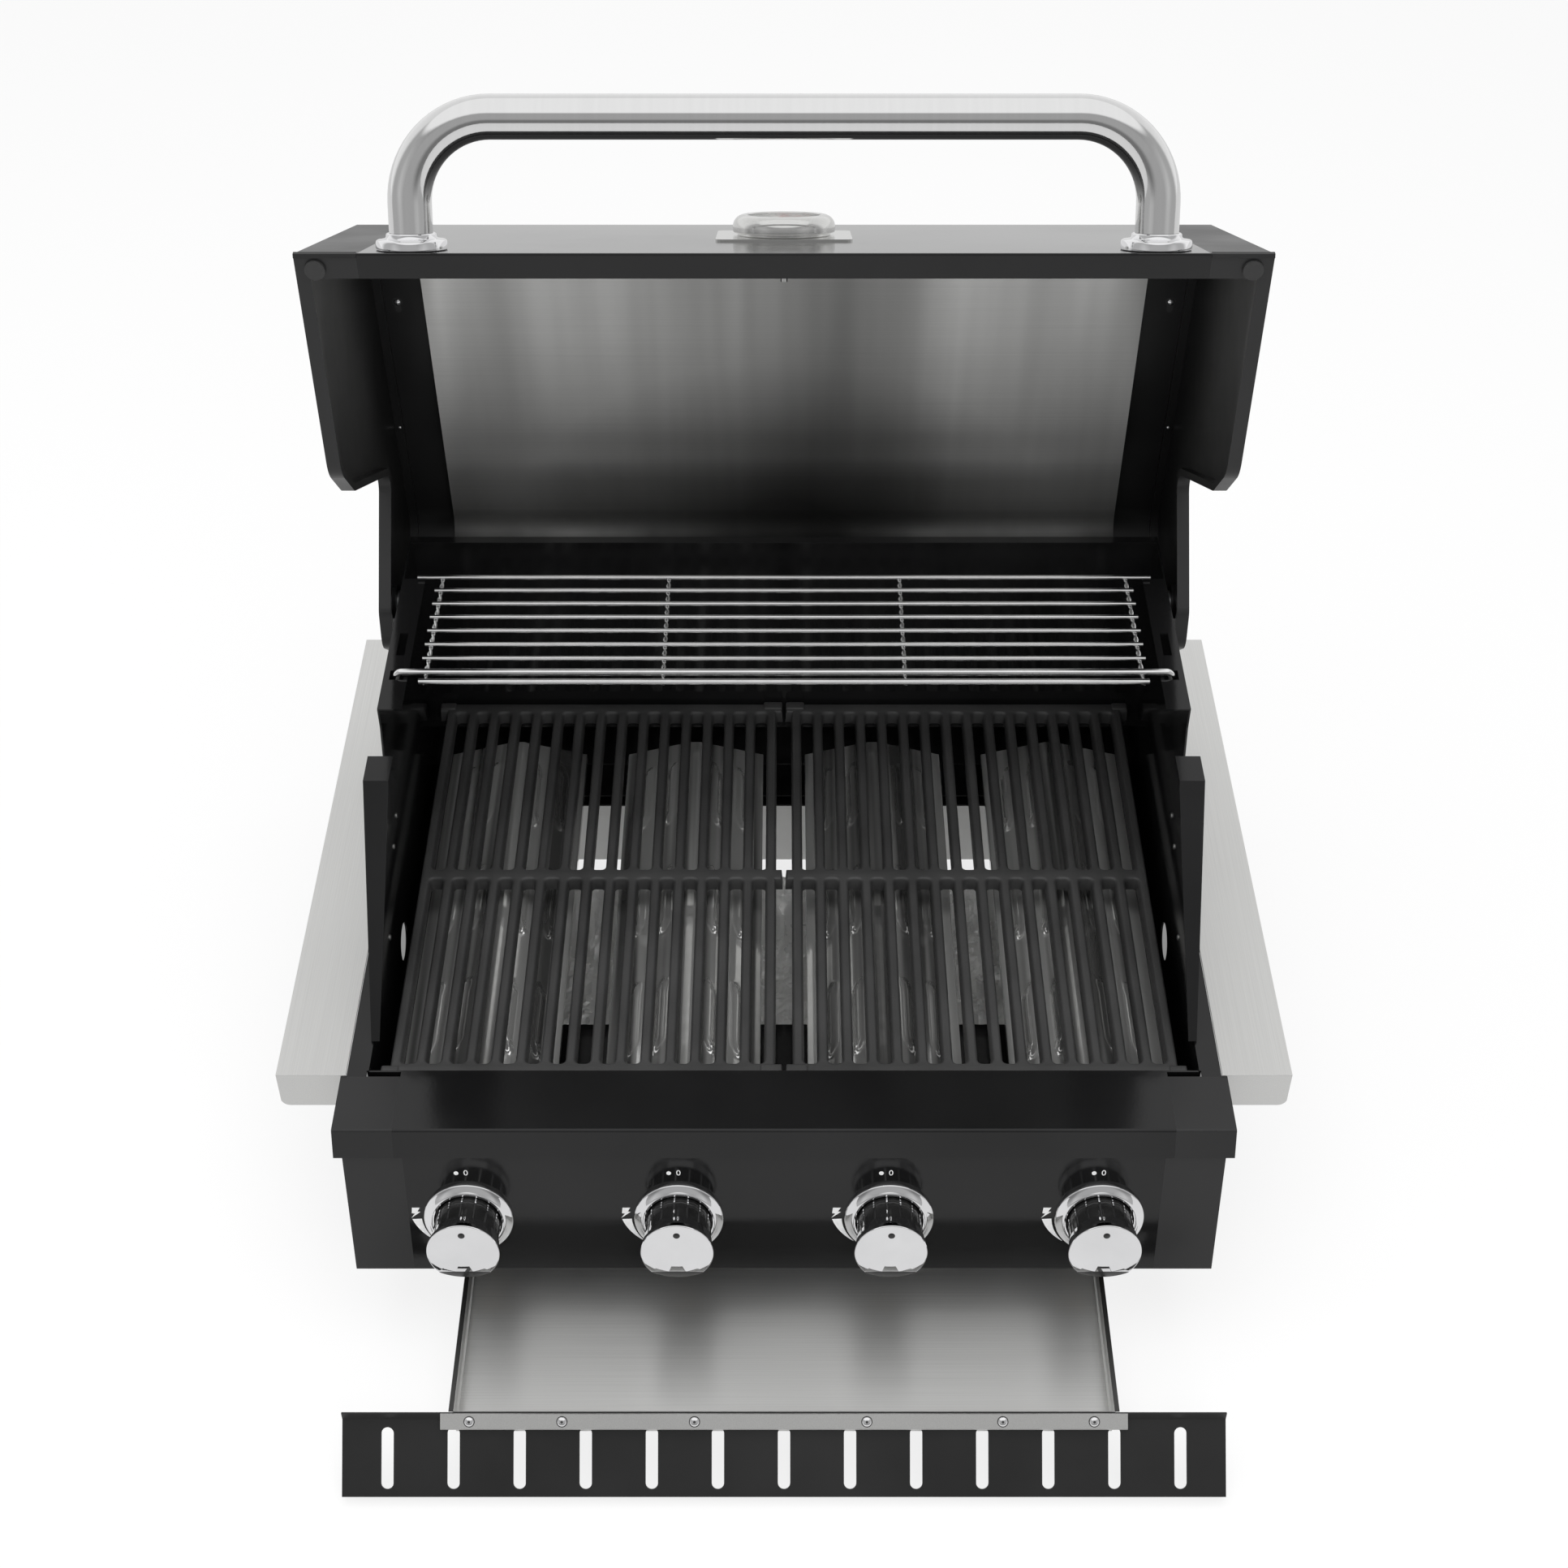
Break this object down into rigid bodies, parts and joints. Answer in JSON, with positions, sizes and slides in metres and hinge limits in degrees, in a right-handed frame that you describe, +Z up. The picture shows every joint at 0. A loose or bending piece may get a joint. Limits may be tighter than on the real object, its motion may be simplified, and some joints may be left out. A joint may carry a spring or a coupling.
{
  "type": "built in gas grill",
  "caption": "Built-in gas grill with grates, flame tents and warming rack, a lifting lid with handle and thermometer, turning knobs and a slide-out drip tray.",
  "frame": {"origin": "middle of the bottom of the bounding box, level with the feet of the housing", "axes": "+Z up, +Y from the control panel to the back, +X to the right as seen from the front"},
  "size_m": [0.805, 0.805, 0.8878],
  "materials": {
    "enamel_gloss": "gloss black enamel",
    "enamel_satin": "satin black enamel",
    "tray_black": "satin black paint",
    "flange_steel": "brushed",
    "liner_steel": "brushed",
    "housing_steel": "mill finish",
    "tent_steel": "polished",
    "burner_steel": "satin",
    "wire_steel": "bright wire",
    "chrome": "mirror",
    "gauge_steel": "brushed",
    "cast_iron": "matte enamel",
    "brass": "as cast",
    "zinc_steel": "zinc plated",
    "ceramic": "glazed ceramic",
    "rubber": "matte",
    "needle_red": "matte paint"
  },
  "bodies": {
    "chassis": {"burner_centre_left": "burner_steel", "burner_centre_right": "burner_steel", "burner_left": "burner_steel", "burner_right": "burner_steel", "control_panel": "enamel_gloss", "cooking_grate_left": "cast_iron", "cooking_grate_right": "cast_iron", "counter_flange_left": "flange_steel", "counter_flange_right": "flange_steel", "end_cap_left": "enamel_satin", "end_cap_right": "enamel_satin", "fascia": "enamel_gloss", "firebox_back": "enamel_gloss", "firebox_floor": "enamel_gloss", "firebox_front": "enamel_gloss", "firebox_side_left": "enamel_gloss", "firebox_side_right": "enamel_gloss", "flame_tent_centre_left": "tent_steel", "flame_tent_centre_right": "tent_steel", "flame_tent_left": "tent_steel", "flame_tent_right": "tent_steel", "gas_inlet": "brass", "gas_manifold": "zinc_steel", "gas_valve_centre_left": "brass", "gas_valve_centre_right": "brass", "gas_valve_left": "brass", "gas_valve_right": "brass", "hinge_pins": "zinc_steel", "housing_back": "enamel_satin", "housing_side_left": "enamel_satin", "housing_side_right": "enamel_satin", "igniter_electrodes": "ceramic", "knob_bezels": "chrome", "tray_runners": "housing_steel", "warming_rack": "wire_steel"},
    "lid": {"lid_skin": "enamel_gloss", "lid_end_right": "enamel_satin", "lid_end_left": "enamel_satin", "lid_liner": "liner_steel", "lid_handle": "chrome", "handle_bosses": "chrome", "thermometer_case": "gauge_steel", "thermometer_probe": "gauge_steel", "lid_bumpers": "rubber"},
    "gauge_needle": {"thermometer_needle": "needle_red"},
    "drip_tray": {"drip_tray_pan": "liner_steel", "drip_tray_face": "tray_black", "drip_tray_screws": "chrome"},
    "stem_left": {"valve_stem_left": "brass"},
    "knob_left": {"knob_left": "chrome"},
    "stem_centre_left": {"valve_stem_centre_left": "brass"},
    "knob_centre_left": {"knob_centre_left": "chrome"},
    "stem_centre_right": {"valve_stem_centre_right": "brass"},
    "knob_centre_right": {"knob_centre_right": "chrome"},
    "stem_right": {"valve_stem_right": "brass"},
    "knob_right": {"knob_right": "chrome"}
  },
  "joints": [
    {"name": "lid_hinge", "type": "hinge", "parent": "chassis", "child": "lid", "pos_m": [0, 0.26005, 0.376], "axis": [1, 0, 0], "range_deg": [0, 90]},
    {"name": "needle_turn", "type": "hinge", "parent": "lid", "child": "gauge_needle", "pos_m": [0, 0.25076, 0.74137], "axis": [0, -0.4182, -0.9084], "range_deg": [0, 250], "stiffness_Nm_per_rad": 0.002},
    {"name": "tray_slide", "type": "slide", "parent": "chassis", "child": "drip_tray", "axis": [0, -1, 0], "range_m": [-0.114, 0.2]},
    {"name": "valve_turn_left", "type": "hinge", "parent": "chassis", "child": "stem_left", "pos_m": [-0.2502, -0.23412, 0.145], "axis": [0, -0.9824, 0.1867], "range_deg": [0, 200]},
    {"name": "knob_push_left", "type": "slide", "parent": "stem_left", "child": "knob_left", "axis": [0, 0.9824, -0.1867], "range_m": [0, 0.003], "stiffness_N_per_m": 1500, "springref_m": -0.003},
    {"name": "valve_turn_centre_left", "type": "hinge", "parent": "chassis", "child": "stem_centre_left", "pos_m": [-0.0834, -0.23412, 0.145], "axis": [0, -0.9824, 0.1867], "range_deg": [0, 200]},
    {"name": "knob_push_centre_left", "type": "slide", "parent": "stem_centre_left", "child": "knob_centre_left", "axis": [0, 0.9824, -0.1867], "range_m": [0, 0.003], "stiffness_N_per_m": 1500, "springref_m": -0.003},
    {"name": "valve_turn_centre_right", "type": "hinge", "parent": "chassis", "child": "stem_centre_right", "pos_m": [0.0834, -0.23412, 0.145], "axis": [0, -0.9824, 0.1867], "range_deg": [0, 200]},
    {"name": "knob_push_centre_right", "type": "slide", "parent": "stem_centre_right", "child": "knob_centre_right", "axis": [0, 0.9824, -0.1867], "range_m": [0, 0.003], "stiffness_N_per_m": 1500, "springref_m": -0.003},
    {"name": "valve_turn_right", "type": "hinge", "parent": "chassis", "child": "stem_right", "pos_m": [0.2502, -0.23412, 0.145], "axis": [0, -0.9824, 0.1867], "range_deg": [0, 200]},
    {"name": "knob_push_right", "type": "slide", "parent": "stem_right", "child": "knob_right", "axis": [0, 0.9824, -0.1867], "range_m": [0, 0.003], "stiffness_N_per_m": 1500, "springref_m": -0.003}
  ]
}
